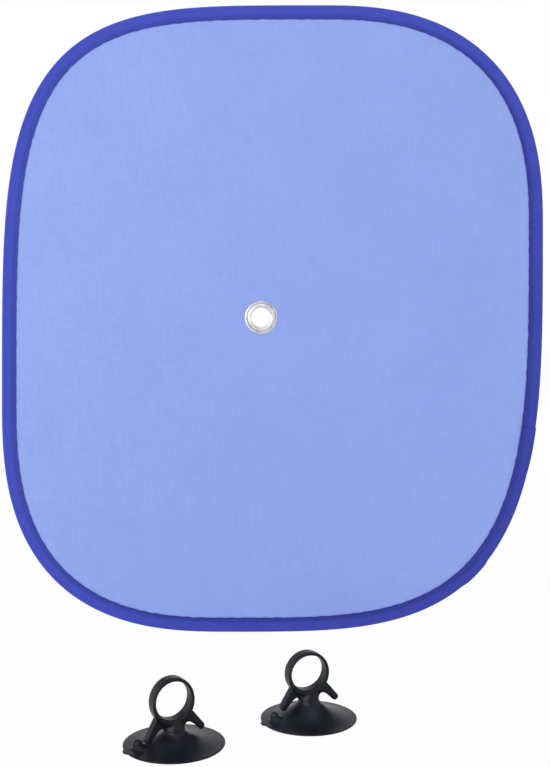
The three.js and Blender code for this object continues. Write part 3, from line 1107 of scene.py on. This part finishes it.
def addTab(shape):
    root = cup["radius"] - cup["rimFlat"] / 2
    reach = cup["radius"] + cup["tabReach"] - root
    aim = math.radians(knob["angle"])
    outlineOfTab = arc((root, 0), reach, cup["tabWidth"] / 2, -90, 90, 14)
    part = bmesh.new()
    layers = []
    for z in (0, cup["rimThickness"]):
        layer = []
        for x, y in outlineOfTab:
            layer.append(part.verts.new((*turnPoint(x, y, aim), z)))
        layers.append(layer)
    part.faces.new(layers[0][::-1])
    part.faces.new(layers[1])
    count = len(outlineOfTab)
    for i in range(count):
        j = (i + 1) % count
        part.faces.new((layers[0][i], layers[0][j], layers[1][j], layers[1][i]))
    bmesh.ops.recalc_face_normals(part, faces=part.faces)
    addTo(shape, part)


# Where the cups stand, and how their soft heads lean. The left one is pressed down.
cupStands = {
    "cupRight": {
        "node": "suction_cup_right",
        "x": 28.3 * mm,
        "y": -167.5 * mm,
        "turn": 23,
        "lean": 4,
        "pressed": 0,
        "squeeze": 1,
    },
    "cupLeft": {
        "node": "suction_cup_left",
        "x": -42.3 * mm,
        "y": -204 * mm,
        "turn": 29,
        "lean": 5,
        "pressed": 3.2 * mm,
        "squeeze": 0.96,
    },
}


def makeCup(name, stand):
    shape = bmesh.new()
    lathe(shape, bellProfile(stand["pressed"]), cup["segments"])
    addFlat(shape, [wingOutline()], wing["depth"], stand)
    addFlat(shape, [ringOutline(), ringHole()], ring["depth"], stand)
    addKnob(shape, stand["pressed"])
    addTab(shape)
    mesh = bpy.data.meshes.new(name + "Blank")
    shape.to_mesh(mesh)
    shape.free()
    blank = newObject(name + "Blank", mesh)
    melt = blank.modifiers.new("melt", "REMESH")
    melt.mode = "VOXEL"
    melt.voxel_size = cup["voxel"]
    soften = blank.modifiers.new("soften", "SMOOTH")
    soften.factor = 0.5
    soften.iterations = cup["softening"]
    made = plainMesh(blank, name)
    turn = math.radians(stand["turn"])
    for vert in made.data.vertices:
        x, y = turnPoint(vert.co.x, vert.co.y, turn)
        vert.co = (stand["x"] + x, stand["y"] + y, groundHeight + max(0, vert.co.z))
    made.data.materials.clear()
    made.data.materials.append(cupMaterial)
    made.data.shade_smooth()
    return made


# The materials

clothMaterial = makeClothMaterial()
tapeMaterial = makeTapeMaterial()
threadMaterial = makeThreadMaterial()
nickelMaterial = makeMetalMaterial("nickelPlate")
steelMaterial = makeMetalMaterial("drawnSteel")
cupMaterial = makeCupMaterial()
print("materials ready")


# The pieces

def finishPiece(made, slotName, *nodes):
    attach(made, "root")
    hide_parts(*nodes)
    print("made", made.name, len(made.data.polygons))


panelCloth = makeCloth()
finishPiece(panelCloth, "panel_fabric", "fabric_panel")
edgeTape = makeTape()
finishPiece(edgeTape, "binding_tape", "edge_binding")
tapeLap = makeTapeLap()
finishPiece(tapeLap, "binding_tape")

# The photo shows no blue in the black cups, so neither the panel nor its tape is mirrored in them
panelCloth.visible_glossy = False
edgeTape.visible_glossy = False

stitchTree = makeStitchTree()
frontStitches = makeStitches("frontStitches", -1, stitchTree)
backStitches = makeStitches("backStitches", 1, stitchTree)
for stitches in (frontStitches, backStitches):
    finishPiece(stitches, "binding_tape")

eyeletBarrel = makeEyelet()
finishPiece(eyeletBarrel, "eyelet_nickel", "eyelet_barrel")
eyeletWasher = makeWasher()
finishPiece(eyeletWasher, "eyelet_nickel", "eyelet_washer")

for nodeName in ("hoop_wire", "hoop_sleeve"):
    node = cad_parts[nodeName]
    node.data.materials.clear()
    node.data.materials.append(steelMaterial)

cups = bpy.data.collections.new("cups")
for cupName, stand in cupStands.items():
    madeCup = makeCup(cupName, stand)
    finishPiece(madeCup, "cup_rubber", stand["node"])
    cups.objects.link(madeCup)


# The cloth's cut outline, and its area without the eyelet's hole
def cutOutline():
    places = np.arange(cloth["cutPoints"]) / cloth["cutPoints"]
    line = hoop.inside(places, cloth["inset"])
    after = np.roll(line, -1, axis=0)
    whole = abs(np.sum(line[:, 0] * after[:, 1] - after[:, 0] * line[:, 1])) / 2
    hole = eyelet["hole"] + eyelet["sheet"]
    return line, whole - math.pi * hole ** 2


cutLine, cutArea = cutOutline()


# Floor, world and lamps

stage = {
    "floorSize": 14,
    "floorDrop": 0.2 * mm,
    "floorTone": (0.86, 0.86, 0.86, 1),
    "floorPale": (0.90, 0.90, 0.90, 1),
    "floorGlow": 0.965,
    "worldTone": (0.93, 0.94, 0.96, 1),
    "worldStrength": 0.44,
}

# Dark cards that only reflections show: in the bright plate, and in the tops of the cups
cards = {
    "frontCard": {
        "middle": (0.55, -2.4, 0.3),
        "size": (1.7, 1.5),
        "tone": (0.22, 0.21, 0.25, 1),
    },
    "backCard": {
        "middle": (0, 1.2, 2.1),
        "size": (4, 3),
        "tone": (0.045, 0.055, 0.085, 1),
    },
}

lamps = {
    "keyLamp": {
        "place": (-1.35, -1.7, 0.32),
        "aim": (0, -0.05, -0.05),
        "size": (1.2, 1.4),
        "power": 28.2,
    },
    "fillLamp": {
        "place": (1.5, -1.5, 0.5),
        "aim": (0, -0.05, -0.1),
        "size": (1.2, 1.2),
        "power": 5,
    },
    "topLamp": {
        "place": (0.1, 0.1, 1.9),
        "aim": (0, -0.1, -0.2),
        "size": (1.6, 1.2),
        "power": 5.5,
    },
    "backLamp": {
        "place": (0.9, 1.9, 1.0),
        "aim": (0, 0, 0),
        "size": (1.2, 1.2),
        "power": 20,
    },
    "stripLamp": {
        "place": (-0.25, -1.35, 0.45),
        "aim": (0, -0.17, -0.15),
        "size": (0.12, 1.4),
        "power": 10,
    },
}


# 1 for what the viewer sees directly, in a reflection or through glass
def directlySeen(tree):
    path = addNode(tree, "ShaderNodeLightPath").outputs
    seen = mathNode(tree, "MAXIMUM", path["Is Camera Ray"], path["Is Glossy Ray"])
    return mathNode(tree, "MAXIMUM", seen, path["Is Transmission Ray"])


def makeFloor():
    half = stage["floorSize"] / 2
    height = groundHeight - stage["floorDrop"]
    verts = [(-half, -half, height), (half, -half, height), (half, half, height), (-half, half, height)]
    material = bpy.data.materials.new("paleFloor")
    material.use_nodes = True
    tree = material.node_tree
    tree.nodes.clear()
    grain = noiseNode(tree, objectSocket(tree), 3.0)
    pale = mixColour(tree, grain, stage["floorTone"], stage["floorPale"])
    surface = addNode(tree, "ShaderNodeBsdfDiffuse", {"Color": pale})
    glow = addNode(tree, "ShaderNodeEmission", {"Color": (1, 1, 1, 1), "Strength": 1.0})
    share = mathNode(tree, "MULTIPLY", directlySeen(tree), stage["floorGlow"])
    mixed = addNode(tree, "ShaderNodeMixShader", {0: share, 1: surface.outputs[0], 2: glow.outputs[0]})
    addNode(tree, "ShaderNodeOutputMaterial", {"Surface": mixed.outputs[0]})
    floor = makeObject("paleFloor", verts, [(0, 1, 2, 3)], material, False)


def makeWorld():
    world = bpy.data.worlds.new("studio")
    bpy.context.scene.world = world
    world.use_nodes = True
    tree = world.node_tree
    tree.nodes.clear()
    dim = {"Color": stage["worldTone"], "Strength": stage["worldStrength"]}
    room = addNode(tree, "ShaderNodeBackground", dim).outputs[0]
    white = addNode(tree, "ShaderNodeBackground", {"Color": (1, 1, 1, 1), "Strength": 1.0}).outputs[0]
    mixed = addNode(tree, "ShaderNodeMixShader", {0: directlySeen(tree), 1: room, 2: white})
    addNode(tree, "ShaderNodeOutputWorld", {"Surface": mixed.outputs[0]})


def makeLamp(name):
    lamp = lamps[name]
    data = bpy.data.lights.new(name, "AREA")
    data.shape = "RECTANGLE"
    data.size = lamp["size"][0]
    data.size_y = lamp["size"][1]
    data.energy = lamp["power"]
    made = newObject(name, data)
    made.location = lamp["place"]
    direction = Vector(lamp["aim"]) - Vector(lamp["place"])
    made.rotation_euler = direction.to_track_quat("-Z", "Y").to_euler()
    return made


def makeCard(name):
    card = cards[name]
    x, y, z = card["middle"]
    halfWidth, halfHeight = (size / 2 for size in card["size"])
    corners = ((-1, -1), (1, -1), (1, 1), (-1, 1))
    verts = [(x + across * halfWidth, y, z + up * halfHeight) for across, up in corners]
    material, tree, shader = startMaterial(name, roughness=0.9)
    grain = noiseNode(tree, objectSocket(tree), 4.0)
    darker = tuple(channel * 0.8 for channel in card["tone"][:3]) + (1,)
    tone = mixColour(tree, grain, card["tone"], darker)
    tree.links.new(tone, shader.inputs["Base Color"])
    made = makeObject(name, verts, [(0, 1, 2, 3)], material, False)
    made.visible_camera = False
    made.visible_diffuse = False
    made.visible_shadow = False
    made.visible_transmission = False


makeFloor()
for cardName in cards:
    makeCard(cardName)
makeWorld()
madeLamps = {lampName: makeLamp(lampName) for lampName in lamps}
madeLamps["backLamp"].visible_glossy = False

# The tall narrow lamp is for the cups alone, and draws the light streak down their necks
madeLamps["stripLamp"].visible_diffuse = False
madeLamps["stripLamp"].light_linking.receiver_collection = cups

bpy.context.scene.view_settings.view_transform = "Standard"
print("stage ready")
